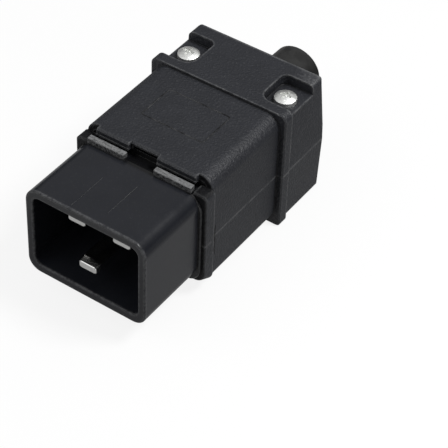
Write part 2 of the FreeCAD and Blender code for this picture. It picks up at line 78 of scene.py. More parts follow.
# Strength of rubbing in its gaps and in full, and the pull that makes streaks long
WEAR_GAPS = (0.15, 1.0)
STREAK_PULL = (0.22, 1.0, 1.0)

# Half widths of the soft ends of masks
CRISP = 0.1 * MM
SOFT = 0.2 * MM
SEAM_FADE = 0.3 * MM
CORNER_FADE = 1.0 * MM

SKY_SAMPLES = 8
EDGE_SAMPLES = 6
FILLET_STEPS = 4


def colour(name, default, description):
    return FloatVectorProperty(name=name, description=description, subtype="COLOR", size=3, min=0.0, max=1.0,
                               default=default)


def number(name, default, description):
    return FloatProperty(name=name, description=description, default=default)


def pair(name, default, description):
    return FloatVectorProperty(name=name, description=description, size=2, default=default)


def length(name, millimetres, description):
    return FloatProperty(name=name, description=description, unit="LENGTH", default=millimetres * MM)


def span(name, start, end, description):
    """Two places along an axis, in millimetres."""
    return FloatVectorProperty(name=name, description=description, size=2, unit="LENGTH",
                               default=(start * MM, end * MM))


def angle(name, degrees, description):
    return FloatProperty(name=name, description=description, subtype="ANGLE", default=math.radians(degrees))


class PlugColours(bpy.types.PropertyGroup):
    """Colours of the plug's finishes and of the floor."""
    housing: colour("Housing", (0.0130, 0.0142, 0.0184), "Moulded black of the two shells")
    housing_pale: colour("Housing bloom", (0.0194, 0.0208, 0.0260), "Paler bloom in the shells' surface")
    insert: colour("Insert", (0.0120, 0.0131, 0.0168), "Smoother black of the contact insert")
    insert_pale: colour("Insert bloom", (0.0165, 0.0177, 0.0220), "Paler bloom in the insert's surface")
    # This grey also lays painted sheen on the rear top's right edge and back edge
    rubbed: colour("Rubbed plastic", (0.21, 0.213, 0.216), "Grey of plastic that has been rubbed")
    # Painted shade: this black darkens recesses, gaps, the collar, the lip's notch, the insert's neck and the
    # panel's outline
    recess: colour("Recesses", (0.004, 0.004, 0.0046), "Black of gaps and recesses")
    # Paler tone of the raised lines, laid in random stretches
    line: colour("Moulding line", (0.052, 0.0525, 0.0545), "Crisp stretches of the fine raised lines")
    rubber: colour("Boot", (0.0110, 0.0110, 0.0111), "Rubber of the cord boot")
    # Painted light: paler tone laid on the boot's top
    rubber_lit: colour("Boot top light", (0.0360, 0.0360, 0.0356), "Paler bloom on the rubber")
    nickel: colour("Pins", (0.74, 0.738, 0.725), "Nickel plate of the pins")
    nickel_dull: colour("Pins, dull", (0.62, 0.618, 0.61), "Duller patches of the nickel plate")
    zinc: colour("Screws", (0.93, 0.935, 0.92), "Zinc plate of the screws")
    zinc_dull: colour("Screws, dull", (0.72, 0.73, 0.71), "Duller patches of the zinc plate")
    floor: colour("Floor", (0.92, 0.92, 0.92), "Paper that the plug lies on")
    bounce: colour("Floor bounce", (0.22, 0.22, 0.22), "Light that the paper throws back on the plug")


class PlugMarks(bpy.types.PropertyGroup):
    """Places of the raised lines, of worn spots and of painted shade, sheen and light, each from its start to
    where it is full.
    """
    roof_level: length("Roof", 34.6, "Height of the housing's roof")
    shroud_level: length("Shroud", 31.7, "Height of the shroud's top")
    panel_x: span("Panel, across", -9.2, 8.7, "Left and right end of the bare label panel")
    panel_y: span("Panel, along", -11.0, 0.5, "Front and back edge of the bare label panel")
    panel_line: length("Panel line width", 0.34, "Width of the label panel's raised outline")
    line_width: length("Line width", 0.2, "Width of a raised moulding line")
    line_height: length("Line height", 0.04, "How far a moulding line stands out")
    left_line_x: length("Left line", -4.5, "Place of the left line on the shroud")
    left_line_y: span("Left line, along", -43.8, -32.0, "Front and back end of the left line")
    right_line_x: length("Right line", 3.75, "Place of the right line on the shroud")
    right_line_y: span("Right line, along", -41.0, -29.5, "Front and back end of the right line")
    # Painted shade on the insert's neck between the ridges and behind the shroud
    neck_half: length("Neck half", 4.3, "Half the stretch of neck between the two ridges")
    neck_y: span("Neck shade", -25.7, -24.1, "Where the neck's shade sets in")
    flange_y: span("Flange shade", -24.8, -24.4, "Where the shade behind the shroud sets in")
    ridge_y: span("Ridges, along", -24.6, -21.0, "Front and back end of the open part of the ridges")
    ridge_foot: span("Ridge foot", 31.75, 31.95, "Heights over which the ridges' scuffs set in")
    crest_depth: span("Crest", 0.3, 0.1, "How far below the ridges' top their polish sets in")
    # Painted shade in the lip's notch, on the collar's front and ears, and along the seam behind the collar
    notch_x: span("Notch, across", -4.9, 3.3, "Left and right end of the notch in the lip")
    notch_y: span("Notch, along", -21.6, -17.6, "Front and back end of the notch's shade")
    notch_z: span("Notch shade", 34.2, 34.0, "Heights over which the notch's shade sets in, downward")
    front_depth: span("Collar front", 0.2, 0.1, "How far behind the collar's front its shade sets in")
    ear_side: length("Ear side", 14.6, "Inner side of the collar's two ears")
    ear_y: span("Ears, along", -24.0, -20.2, "Front end of the ears, and the wall above them")
    ear_z: span("Ear shade", 30.7, 31.4, "Heights over which the ears' shade sets in")
    seam_y: span("Seam, along", -19.5, -18.6, "Front and back of the dark seam that shows behind the collar")
    seam_z: span("Seam, upright", 10.1, 19.8, "Foot and head of the dark seam")
    # Wear with painted sheen on the rear top, toward its right edge beside the screw
    corner_x: span("Worn corner", 11.0, 18.0, "Where the wear beside the right screw sets in")
    corner_y: span("Worn corner, along", 13.0, 28.0, "Front and back end of the worn corner")
    corner_z: span("Worn corner, upright", 34.6, 35.2, "Heights over which the corner's wear sets in")
    # Painted sheen along the back edge of the rear top
    rim_y: span("Rear edge", 25.1, 25.5, "Where the rubbing on the back edge of the rear top sets in")
    rim_z: span("Rear edge, upright", 34.6, 35.0, "Heights over which the rear edge's rubbing sets in")
    # Painted light on the boot's top
    boot_light_z: span("Boot top light", 19.0, 24.6, "Heights over which the boot's pale bloom sets in")
    tip_y: span("Pin tips", -42.0, -43.4, "Where the scuffs on the pins' ends set in")


class PlugFinish(bpy.types.PropertyGroup):
    """Scales and strengths of the plug's finishes."""
    housing_grain: number("Housing grain", 1700.0, "Fineness of the shells' eroded grain")
    housing_clouds: number("Housing clouds", 150.0, "Fineness of the shells' bloom")
    housing_bloom: number("Housing bloom", 0.55, "Strength of the shells' bloom")
    housing_specks: number("Housing specks", 0.10, "Strength of the shells' pale specks")
    # Strength of the painted shade on the collar, along its seam and in the lip's notch
    housing_painted_shade: number("Housing painted shade", 0.88, "Strength of the shells' darker places")
    housing_wear: number("Housing wear", 0.36, "Strength of the rubbing on the shells' edges")
    housing_reach: length("Housing wear reach", 0.6, "How far in from an edge the shells are rubbed")
    housing_breaks: number("Housing wear breaks", 700.0, "Fineness of the gaps in the shells' rubbing")
    # Strength of the painted shade along the seam behind the collar
    seam_shade_breaks: pair("Seam breaks", (0.5, 1.0), "Strength of the dark seam, in its gaps and in full")
    # Strength of the wear and painted sheen beside the right screw
    corner_wear_and_sheen: pair("Corner wear", (0.04, 0.32), "Strength of the worn corner, in pits and on peaks")
    # Strength of the painted sheen along the rear top's back edge
    rim_sheen: pair("Rear edge sheen", (0.16, 0.34), "Strength of the rear edge's rubbing, faint and in full")
    housing_rough: pair("Housing roughness", (0.46, 0.60), "Roughness of the shells, in pits and on peaks")
    housing_gloss: pair("Housing gloss", (0.45, 0.18), "Mirror level of the shells, in the open and in shade")
    housing_depth: length("Housing grain depth", 0.26, "Depth of the shells' grain")
    housing_edge: length("Housing edge", 0.25, "Rounding that the shells' sharp edges are shaded with")
    # Reach and strength of the painted shade in recesses
    painted_shade_reach: length("Recess reach", 1.8, "How near a wall stands that darkens a recess")
    painted_recess_shade: number("Painted recess shade", 0.8, "Strength of the darkness in recesses")
    insert_grain: number("Insert grain", 3200.0, "Fineness of the insert's grain")
    insert_clouds: number("Insert clouds", 120.0, "Fineness of the insert's bloom")
    insert_bloom: number("Insert bloom", 0.5, "Strength of the insert's bloom")
    insert_specks: number("Insert specks", 0.06, "Strength of the insert's pale specks")
    insert_wear: number("Insert wear", 0.55, "Strength of the rubbing on the insert's edges")
    insert_reach: length("Insert wear reach", 0.8, "How far in from an edge the insert is rubbed")
    insert_breaks: number("Insert wear breaks", 1100.0, "Fineness of the gaps in the insert's rubbing")
    # Strength of the painted shade on the neck and behind the shroud
    neck_painted_shade: number("Neck shade", 0.85, "Strength of the shade on the neck between the ridges")
    flange_painted_shade: number("Flange shade", 0.75, "Strength of the shade behind the shroud")
    ridge_clouds: number("Ridge clouds", 1900.0, "Fineness of the scuffs on the ridges")
    ridge_scuffs: number("Ridge scuffs", 0.75, "Strength of the scuffs on the ridges")
    crest_streaks: number("Crest streaks", 1500.0, "Fineness of the streaks along the ridges' tops")
    crest_polish: pair("Crest polish", (0.25, 0.75), "Strength of the ridges' polish, faint and in full")
    insert_rough: pair("Insert roughness", (0.17, 0.24), "Roughness of the insert, plain and in its bloom")
    insert_gloss: number("Insert gloss", 0.28, "Mirror level of the insert")
    insert_depth: length("Insert grain depth", 0.04, "Depth of the insert's grain")
    insert_relief: number("Insert relief", 0.5, "Strength of the insert's grain")
    insert_edge: length("Insert edge", 0.2, "Rounding that the insert's sharp edges are shaded with")
    line_grain: number("Line grain", 2600.0, "Fineness of the raised lines' grain")
    line_clouds: number("Line clouds", 420.0, "Fineness of the raised lines' crisp stretches")
    line_rough: pair("Line roughness", (0.5, 0.6), "Roughness of the raised lines, in pits and on peaks")
    line_gloss: number("Line gloss", 0.24, "Mirror level of the raised lines")
    boot_clouds: number("Boot clouds", 260.0, "Fineness of the boot's bloom")
    # Strength of the painted light on the boot's top, faint and in full
    boot_top_light: pair("Boot top light", (0.6, 1.0), "Strength of the boot's bloom, faint and in full")
    boot_rough: pair("Boot roughness", (0.30, 0.46), "Roughness of the boot, plain and in its bloom")
    boot_gloss: number("Boot gloss", 0.10, "Mirror level of the boot")
    boot_depth: length("Boot unevenness", 0.08, "Depth of the boot's unevenness")
    boot_relief: number("Boot relief", 0.35, "Strength of the boot's unevenness")
    plate_clouds: number("Plate clouds", 900.0, "Fineness of the plating's dull patches")
    plate_streaks: number("Plate streaks", 2600.0, "Fineness of the plating's scratches")
    plate_dull: number("Plate dullness", 1.5, "How much rougher the plating's dull patches are")
    plate_depth: length("Plate unevenness", 0.06, "Depth of the plating's unevenness")
    nickel_rough: number("Nickel roughness", 0.14, "Roughness of the pins")
    nickel_relief: number("Nickel relief", 0.10, "Strength of the pins' unevenness")
    nickel_scuffs: number("Nickel scuffs", 0.14, "Roughness that the scuffs add at the pins' ends")
    zinc_rough: number("Zinc roughness", 0.44, "Roughness of the screws")
    zinc_relief: number("Zinc relief", 0.5, "Strength of the screws' unevenness")


class PlugStage(bpy.types.PropertyGroup):
    """Camera, lamps and floor."""
    azimuth: angle("Azimuth", 34.823, "Camera's turn about the plug")
    elevation: angle("Elevation", 41.053, "Camera's height above the floor")
    roll: angle("Roll", 1.28, "Camera's turn about its own line of sight")
    distance: length("Distance", 440.791, "Camera's distance from the point that it looks at")
    aside: length("Aside", 0.155, "Camera's move across its line of sight")
    above: length("Above", -2.56, "Camera's move up across its line of sight")
    focal_px: number("Focal length", 1806.216, "Focal length in pixels of the picture")
    centre_px: pair("Picture centre", (185.444, 159.847), "Pixel where the line of sight meets the picture")
    look_at: FloatVectorProperty(name="Look at", size=3, subtype="TRANSLATION", unit="LENGTH",
                                 default=(0.0, -5.0 * MM, 17.2 * MM),
                                 description="Point that the camera looks at")
    key_from: FloatVectorProperty(name="Key lamp direction", size=3, default=(0.5, 0.18, 0.84),
                                  description="Where the lamp above the right side stands")
    key_size: length("Key lamp size", 160.0, "Side of the key lamp")
    key_power: FloatProperty(name="Key lamp", description="Power of the lamp above the right side",
                             unit="POWER", default=2.6)
    fill_from: FloatVectorProperty(name="Fill lamp direction", size=3, default=(-0.43, -0.66, 0.62),
                                   description="Where the lamp above the left of the mouth stands")
    fill_size: length("Fill lamp size", 500.0, "Side of the fill lamp")
    fill_power: FloatProperty(name="Fill lamp", description="Power of the lamp above the left of the mouth",
                              unit="POWER", default=0.8)
    lamp_distance: length("Lamp distance", 600.0, "How far the lamps stand from the plug")
    sky_level: number("Sky", 0.45, "Light from overhead all round")
    horizon_level: number("Horizon", 0.05, "Light from low down all round")
    floor_size: length("Floor size", 6000.0, "Side of the paper")
    floor_clouds: number("Floor clouds", 12.0, "Fineness of the paper's mottling")
    floor_mottle: number("Floor mottling", 0.02, "Strength of the paper's mottling")
    floor_rough: number("Floor roughness", 0.9, "Roughness of the paper")
    floor_white: number("Floor white", 0.86, "Share of plain white that the eye sees, beside the lit paper")
    glare_front: number("Front glare", 0.9, "White that reflections see in front of the mouth")
    glare_front_y: span("Front glare, along", -45.0, -90.0, "Where the glare in front sets in")
    glare_left: number("Left glare", 0.3, "White that reflections see from the right side leftward")
    glare_left_x: span("Left glare, across", 75.0, 35.0, "Where the glare from the right side sets in")


def add_node(tree, kind, **values):
    """A node with its input sockets set by name, with _ for a space."""
    node = tree.nodes.new(kind)
    for name, value in values.items():
        node.inputs[name.replace("_", " ")].default_value = value
    return node


def fill_socket(tree, socket, value):
    """Links a socket to another one, or sets it to a plain value."""
    if isinstance(value, bpy.types.NodeSocket):
        tree.links.new(value, socket)
    else:
        socket.default_value = value


def add_math(tree, operation, first, second):
    node = tree.nodes.new("ShaderNodeMath")
    node.operation = operation
    fill_socket(tree, node.inputs[0], first)
    fill_socket(tree, node.inputs[1], second)
    return node.outputs[0]


def multiply(tree, first, *others):
    """Product of masks and strengths."""
    product = first
    for factor in others:
        product = add_math(tree, "MULTIPLY", product, factor)
    return product


def add_range(tree, value, source, result):
    """Smooth step that carries one span of values over to another."""
    node = tree.nodes.new("ShaderNodeMapRange")
    node.interpolation_type = "SMOOTHSTEP"
    tree.links.new(value, node.inputs["Value"])
    for name, end in zip(("From Min", "From Max", "To Min", "To Max"), (*source, *result)):
        node.inputs[name].default_value = end
    return node.outputs["Result"]


def add_mix(tree, factor, first, second):
    """Colour between two colours or sockets."""
    node = tree.nodes.new("ShaderNodeMix")
    node.data_type = "RGBA"
    tree.links.new(factor, node.inputs[0])
    for socket, value in ((node.inputs[6], first), (node.inputs[7], second)):
        fill_socket(tree, socket, value if isinstance(value, bpy.types.NodeSocket) else (*value, 1.0))
    return node.outputs[2]


def tint(tree, base, tone, *masks):
    """Base colour turned toward a tone by the product of masks."""
    return add_mix(tree, multiply(tree, *masks), base, tone)


def new_group(name, inputs, outputs):
    group = bpy.data.node_groups.new(name, "ShaderNodeTree")
    for direction, sockets in (("INPUT", inputs), ("OUTPUT", outputs)):
        for socket in sockets:
            group.interface.new_socket(socket, in_out=direction, socket_type="NodeSocketFloat")
    return group, group.nodes.new("NodeGroupInput"), group.nodes.new("NodeGroupOutput")


def own_place(tree):
    """Place of a point in the plug's own coordinates."""
    return tree.nodes.new("ShaderNodeTexCoord").outputs["Object"]


def add_noise(tree, place, scale, detail, roughness):
    """Noise at the fineness that a socket gives."""
    noise = add_node(tree, "ShaderNodeTexNoise", Detail=detail, Roughness=roughness)
    tree.links.new(place, noise.inputs["Vector"])
    tree.links.new(scale, noise.inputs["Scale"])
    return noise.outputs["Fac"]


def grain_group():
    """Fine eroded grain, wide soft clouds and scattered pale specks of a moulded surface."""
    group, given, result = new_group("Moulded grain", ("Grain Scale", "Cloud Scale"),
                                     ("Grain", "Clouds", "Specks"))
    place = own_place(group)
    grain = add_noise(group, place, given.outputs["Grain Scale"], detail=2.0, roughness=0.6)
    clouds = add_noise(group, place, given.outputs["Cloud Scale"], detail=4.0, roughness=0.62)
    group.links.new(grain, result.inputs["Grain"])
    group.links.new(add_range(group, clouds, CLOUD_SPAN, UNIT), result.inputs["Clouds"])
    group.links.new(add_range(group, grain, SPECK_SPAN, UNIT), result.inputs["Specks"])
    return group


def streak_group():
    """Rubbed streaks that run across the plug."""
    group, given, result = new_group("Rubbed streaks", ("Fineness",), ("Streaks",))
    pull = add_node(group, "ShaderNodeMapping", Scale=STREAK_PULL)
    group.links.new(own_place(group), pull.inputs["Vector"])
    noise = add_noise(group, pull.outputs["Vector"], given.outputs["Fineness"], detail=4.0, roughness=0.65)
    group.links.new(add_range(group, noise, STREAK_SPAN, UNIT), result.inputs["Streaks"])
    return group


def rise_group():
    """Masks that rise from 0 to 1 between two places, along each axis."""
    group, given, result = new_group("Rise", ("Start", "End"), "XYZ")
    split = group.nodes.new("ShaderNodeSeparateXYZ")
    group.links.new(own_place(group), split.inputs[0])
    for axis in "XYZ":
        ramp = group.nodes.new("ShaderNodeMapRange")
        ramp.interpolation_type = "SMOOTHSTEP"
        group.links.new(split.outputs[axis], ramp.inputs["Value"])
        group.links.new(given.outputs["Start"], ramp.inputs["From Min"])
        group.links.new(given.outputs["End"], ramp.inputs["From Max"])
        group.links.new(ramp.outputs["Result"], result.inputs[axis])
    return group


def edge_group():
    """Wear along outward edges, broken up into longer and shorter runs."""
    group, given, result = new_group("Rubbed edges", ("Reach", "Break Scale"), ("Wear",))
    inside = group.nodes.new("ShaderNodeAmbientOcclusion")
    inside.inside = True
    inside.only_local = True
    inside.samples = SKY_SAMPLES
    group.links.new(given.outputs["Reach"], inside.inputs["Distance"])
    noise = add_noise(group, own_place(group), given.outputs["Break Scale"], detail=4.0, roughness=0.7)
    edge = add_range(group, inside.outputs["AO"], EDGE_SPAN, UNIT)
    breaks = add_range(group, noise, BREAK_SPAN, WEAR_GAPS)
    group.links.new(multiply(group, edge, breaks), result.inputs["Wear"])
    return group


def painted_recess_group():
    """Painted shade that darkens the colour in recesses and gaps."""
    group, given, result = new_group("Painted recess shade", ("Reach",), ("Shade",))
    open_sky = group.nodes.new("ShaderNodeAmbientOcclusion")
    open_sky.samples = SKY_SAMPLES
    group.links.new(given.outputs["Reach"], open_sky.inputs["Distance"])
    group.links.new(add_range(group, open_sky.outputs["AO"], RECESS_SPAN, UNIT), result.inputs["Shade"])
    return group


def use_group(tree, maker, name, **values):
    """A shared node group placed in a material, made on first use."""
    node = tree.nodes.new("ShaderNodeGroup")
    node.node_tree = bpy.data.node_groups.get(name) or maker()
    for socket, value in values.items():
        node.inputs[socket.replace("_", " ")].default_value = value
    return node


def moulded_grain(tree, clouds, grain=0.0):
    """Grain, clouds and specks at the given fineness; the grain's is left out where only clouds are used."""
    return use_group(tree, grain_group, "Moulded grain", Grain_Scale=grain, Cloud_Scale=clouds).outputs


def rubbed_streaks(tree, fineness):
    return use_group(tree, streak_group, "Rubbed streaks", Fineness=fineness).outputs["Streaks"]


def edge_wear(tree, reach, breaks):
    return use_group(tree, edge_group, "Rubbed edges", Reach=reach, Break_Scale=breaks).outputs["Wear"]


def painted_recess_shade(tree, reach):
    return use_group(tree, painted_recess_group, "Painted recess shade", Reach=reach).outputs["Shade"]


def rise(tree, axis, ends):
    """Mask that rises along one axis, from the first of two places to the second."""
    start, end = ends
    return use_group(tree, rise_group, "Rise", Start=start, End=end).outputs[axis]


def between(tree, axis, ends, soft):
    """Mask of a stretch along one axis, with soft ends."""
    low, high = ends
    return add_math(tree, "SUBTRACT", rise(tree, axis, (low - soft, low + soft)),
                    rise(tree, axis, (high - soft, high + soft)))


def new_material(name):
    material = bpy.data.materials.new(name)
    material.use_nodes = True
    return material, material.node_tree, material.node_tree.nodes["Principled BSDF"]


def bump(tree, shader, height, distance, strength=1.0):
    node = add_node(tree, "ShaderNodeBump", Strength=strength, Distance=distance)
    tree.links.new(height, node.inputs["Height"])
    tree.links.new(node.outputs["Normal"], shader.inputs["Normal"])
    return node


def soften_edges(tree, bump_node, radius):
    """Shades sharp moulded edges as if they had a small rounding."""
    node = add_node(tree, "ShaderNodeBevel", Radius=radius)
    node.samples = EDGE_SAMPLES
    tree.links.new(node.outputs["Normal"], bump_node.inputs["Normal"])


def painted_shade_places(tree, grain, scene):
    """Mask of the housing's painted shade: ears and front of the collar, seam behind it, and lip notch."""
    marks, finish = scene.plug_marks, scene.plug_finish
    sides = add_math(tree, "ADD", rise(tree, "X", (marks.ear_side, marks.ear_side + SOFT)),
                     rise(tree, "X", (-marks.ear_side, -marks.ear_side - SOFT)))
    ears = multiply(tree, sides, between(tree, "Y", marks.ear_y, CRISP), rise(tree, "Z", marks.ear_z))
    front = rise(tree, "Y", [collar_front + depth for depth in marks.front_depth])
    seam = multiply(tree, between(tree, "Y", marks.seam_y, CRISP),
                    between(tree, "Z", marks.seam_z, SEAM_FADE),
                    add_range(tree, grain["Grain"], SEAM_SPAN, finish.seam_shade_breaks))
    notch = multiply(tree, between(tree, "X", marks.notch_x, CRISP),
                     between(tree, "Y", marks.notch_y, CRISP), rise(tree, "Z", marks.notch_z))
    shade = ears
    for place in (front, seam, notch):
        shade = add_math(tree, "MAXIMUM", shade, place)
    return multiply(tree, shade, finish.housing_painted_shade)


def housing_plastic(scene):
    """Eroded black plastic with rubbed edges, a worn corner with painted sheen beside the right screw,
    painted sheen on the rear top's back edge, and painted shade in recesses, on the collar and in the lip's
    notch.
    """
    colours, marks, finish = scene.plug_colours, scene.plug_marks, scene.plug_finish
    material, tree, shader = new_material("housing_plastic")
    grain = moulded_grain(tree, finish.housing_clouds, finish.housing_grain)
    base = add_mix(tree, multiply(tree, grain["Clouds"], finish.housing_bloom), colours.housing,
                   colours.housing_pale)
    base = tint(tree, base, colours.rubbed, grain["Specks"], finish.housing_specks)
    # Painted shade: recess black on the collar's ears and front, along the seam behind it and in the lip's
    # notch
    shade = painted_shade_places(tree, grain, scene)
    base = tint(tree, base, colours.recess, shade)
    base = tint(tree, base, colours.rubbed, edge_wear(tree, finish.housing_reach, finish.housing_breaks),
                finish.housing_wear)
    # Wear with painted sheen on the rear top, toward its right edge
    base = tint(tree, base, colours.rubbed, rise(tree, "X", marks.corner_x),
                between(tree, "Y", marks.corner_y, CORNER_FADE), rise(tree, "Z", marks.corner_z),
                add_range(tree, grain["Grain"], CORNER_SPAN, finish.corner_wear_and_sheen))
    # Painted sheen along the back edge of the rear top
    base = tint(tree, base, colours.rubbed, rise(tree, "Y", marks.rim_y), rise(tree, "Z", marks.rim_z),
                add_range(tree, grain["Clouds"], UNIT, finish.rim_sheen))
    # Painted shade in recesses
    base = tint(tree, base, colours.recess, painted_recess_shade(tree, finish.painted_shade_reach), finish.painted_recess_shade)
    tree.links.new(base, shader.inputs["Base Color"])
    rough = add_range(tree, grain["Grain"], GRAIN_SPAN, finish.housing_rough)
    tree.links.new(rough, shader.inputs["Roughness"])
    gloss = add_range(tree, shade, UNIT, finish.housing_gloss)
    tree.links.new(gloss, shader.inputs["Specular IOR Level"])
    soften_edges(tree, bump(tree, shader, grain["Grain"], finish.housing_depth), finish.housing_edge)
    return material


def insert_plastic(scene):
    """Smoother black plastic with rubbed edges, painted shade in recesses, on the neck and behind the shroud,
    and scuffed ridges that are polished on top.
    """
    colours, marks, finish = scene.plug_colours, scene.plug_marks, scene.plug_finish
    material, tree, shader = new_material("insert_plastic")
    grain = moulded_grain(tree, finish.insert_clouds, finish.insert_grain)
    base = add_mix(tree, multiply(tree, grain["Clouds"], finish.insert_bloom), colours.insert,
                   colours.insert_pale)
    base = tint(tree, base, colours.rubbed, grain["Specks"], finish.insert_specks)
    base = tint(tree, base, colours.rubbed, edge_wear(tree, finish.insert_reach, finish.insert_breaks),
                finish.insert_wear)
    # Painted shade in recesses, on the neck between the ridges and behind the shroud
    base = tint(tree, base, colours.recess, painted_recess_shade(tree, finish.painted_shade_reach), finish.painted_recess_shade)
    base = tint(tree, base, colours.recess, between(tree, "X", (-marks.neck_half, marks.neck_half), SOFT),
                rise(tree, "Y", marks.neck_y), finish.neck_painted_shade)
    base = tint(tree, base, colours.recess, rise(tree, "Y", marks.flange_y), finish.flange_painted_shade)
    ridges = between(tree, "Y", marks.ridge_y, CRISP)
    base = tint(tree, base, colours.rubbed, ridges, rise(tree, "Z", marks.ridge_foot),
                moulded_grain(tree, finish.ridge_clouds)["Clouds"], finish.ridge_scuffs)
    polish = add_range(tree, rubbed_streaks(tree, finish.crest_streaks), UNIT, finish.crest_polish)
    base = tint(tree, base, colours.rubbed, ridges,
                rise(tree, "Z", [ridge_level - depth for depth in marks.crest_depth]), polish)
    tree.links.new(base, shader.inputs["Base Color"])
    tree.links.new(add_range(tree, grain["Clouds"], UNIT, finish.insert_rough), shader.inputs["Roughness"])
    shader.inputs["Specular IOR Level"].default_value = finish.insert_gloss
    soften_edges(tree, bump(tree, shader, grain["Grain"], finish.insert_depth, finish.insert_relief),
                 finish.insert_edge)
    return material


def line_plastic(scene, name, base, pale):
    """Plastic of a fine raised line, between a base tone and a paler tone in random stretches."""
    finish = scene.plug_finish
    material, tree, shader = new_material(name)
    grain = moulded_grain(tree, finish.line_clouds, finish.line_grain)
    tree.links.new(add_mix(tree, grain["Clouds"], base, pale), shader.inputs["Base Color"])
    tree.links.new(add_range(tree, grain["Grain"], GRAIN_SPAN, finish.line_rough), shader.inputs["Roughness"])
    shader.inputs["Specular IOR Level"].default_value = finish.line_gloss
    return material


def boot_rubber(scene):
    """Smooth rubber, a little uneven, with painted light that makes its top paler in uneven clouds."""
    colours, marks, finish = scene.plug_colours, scene.plug_marks, scene.plug_finish
    material, tree, shader = new_material("boot_rubber")
    clouds = moulded_grain(tree, finish.boot_clouds)["Clouds"]
    # Painted light: the top of the boot is paler, broken up by clouds
    tree.links.new(tint(tree, colours.rubber, colours.rubber_lit, rise(tree, "Z", marks.boot_light_z),
                        add_range(tree, clouds, UNIT, finish.boot_top_light)), shader.inputs["Base Color"])
    tree.links.new(add_range(tree, clouds, UNIT, finish.boot_rough), shader.inputs["Roughness"])
    shader.inputs["Specular IOR Level"].default_value = finish.boot_gloss
    bump(tree, shader, clouds, finish.boot_depth, finish.boot_relief)
    return material


def plated(scene, name, bright, dull, roughness, relief, scuffs=0.0):
    """Plated metal with duller patches and fine scratches, and with scuffs at the pins' ends where given."""
    finish = scene.plug_finish
    material, tree, shader = new_material(name)
    clouds = moulded_grain(tree, finish.plate_clouds)["Clouds"]
    patches = multiply(tree, clouds, rubbed_streaks(tree, finish.plate_streaks))
    tree.links.new(add_mix(tree, patches, bright, dull), shader.inputs["Base Color"])
    mottle = add_range(tree, patches, UNIT, (roughness, roughness * finish.plate_dull))
    scuffed = multiply(tree, rise(tree, "Y", scene.plug_marks.tip_y), scuffs)
    tree.links.new(add_math(tree, "ADD", mottle, scuffed), shader.inputs["Roughness"])
    shader.inputs["Metallic"].default_value = 1.0
    bump(tree, shader, clouds, finish.plate_depth, relief)
    return material


def finish_nodes(names, material):
    for name in names:
        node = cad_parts[name]
        node.data.materials.clear()
        node.data.materials.append(material)


def new_tree(name, inputs):
    """Geometry node tree with named inputs and one geometry output."""
    tree = bpy.data.node_groups.new(name, "GeometryNodeTree")
    tree.interface.new_socket("Geometry", in_out="INPUT", socket_type="NodeSocketGeometry")
    for socket, kind in inputs.items():
        tree.interface.new_socket(socket, in_out="INPUT", socket_type=kind)
    tree.interface.new_socket("Geometry", in_out="OUTPUT", socket_type="NodeSocketGeometry")
    return tree, tree.nodes.new("NodeGroupInput"), tree.nodes.new("NodeGroupOutput")


def sweep_bead(tree, given, curve, result):
    """Sweeps a low flat bead along a curve, with its middle in the surface, and ends the tree."""
    profile = tree.nodes.new("GeometryNodeCurvePrimitiveQuadrilateral")
    tree.links.new(given.outputs["Line Width"], profile.inputs["Width"])
    tree.links.new(add_math(tree, "MULTIPLY", given.outputs["Line Height"], 2.0), profile.inputs["Height"])
    sweep = tree.nodes.new("GeometryNodeCurveToMesh")
    sweep.inputs["Fill Caps"].default_value = True
    tree.links.new(curve, sweep.inputs["Curve"])
    tree.links.new(profile.outputs["Curve"], sweep.inputs["Profile Curve"])
    realize = tree.nodes.new("GeometryNodeRealizeInstances")
    tree.links.new(sweep.outputs["Mesh"], realize.inputs["Geometry"])
    paint = tree.nodes.new("GeometryNodeSetMaterial")
    tree.links.new(realize.outputs["Geometry"], paint.inputs["Geometry"])
    tree.links.new(given.outputs["Material"], paint.inputs["Material"])
    tree.links.new(paint.outputs["Geometry"], result.inputs["Geometry"])


def panel_tree():
    """Rectangular outline of the bare label panel."""
    tree, given, result = new_tree("Panel outline", {
        "Centre": "NodeSocketVector", "Panel Width": "NodeSocketFloat", "Panel Depth": "NodeSocketFloat",
        "Corner Radius": "NodeSocketFloat", "Line Width": "NodeSocketFloat", "Line Height": "NodeSocketFloat",
        "Material": "NodeSocketMaterial"})
    outline = tree.nodes.new("GeometryNodeCurvePrimitiveQuadrilateral")
    tree.links.new(given.outputs["Panel Width"], outline.inputs["Width"])
    tree.links.new(given.outputs["Panel Depth"], outline.inputs["Height"])
    fillet = tree.nodes.new("GeometryNodeFilletCurve")
    fillet.mode = "POLY"
    fillet.inputs["Count"].default_value = FILLET_STEPS
    tree.links.new(outline.outputs["Curve"], fillet.inputs["Curve"])
    tree.links.new(given.outputs["Corner Radius"], fillet.inputs["Radius"])
    place = tree.nodes.new("GeometryNodeTransform")
    tree.links.new(fillet.outputs["Curve"], place.inputs["Geometry"])
    tree.links.new(given.outputs["Centre"], place.inputs["Translation"])
    sweep_bead(tree, given, place.outputs["Geometry"], result)
    return tree


def line_tree():
    """One straight moulding line between two points."""
    tree, given, result = new_tree("Moulding line", {
        "Start": "NodeSocketVector", "End": "NodeSocketVector", "Line Width": "NodeSocketFloat",
        "Line Height": "NodeSocketFloat", "Material": "NodeSocketMaterial"})
    line = tree.nodes.new("GeometryNodeCurvePrimitiveLine")
    tree.links.new(given.outputs["Start"], line.inputs["Start"])
    tree.links.new(given.outputs["End"], line.inputs["End"])
    sweep_bead(tree, given, line.outputs["Curve"], result)
    return tree


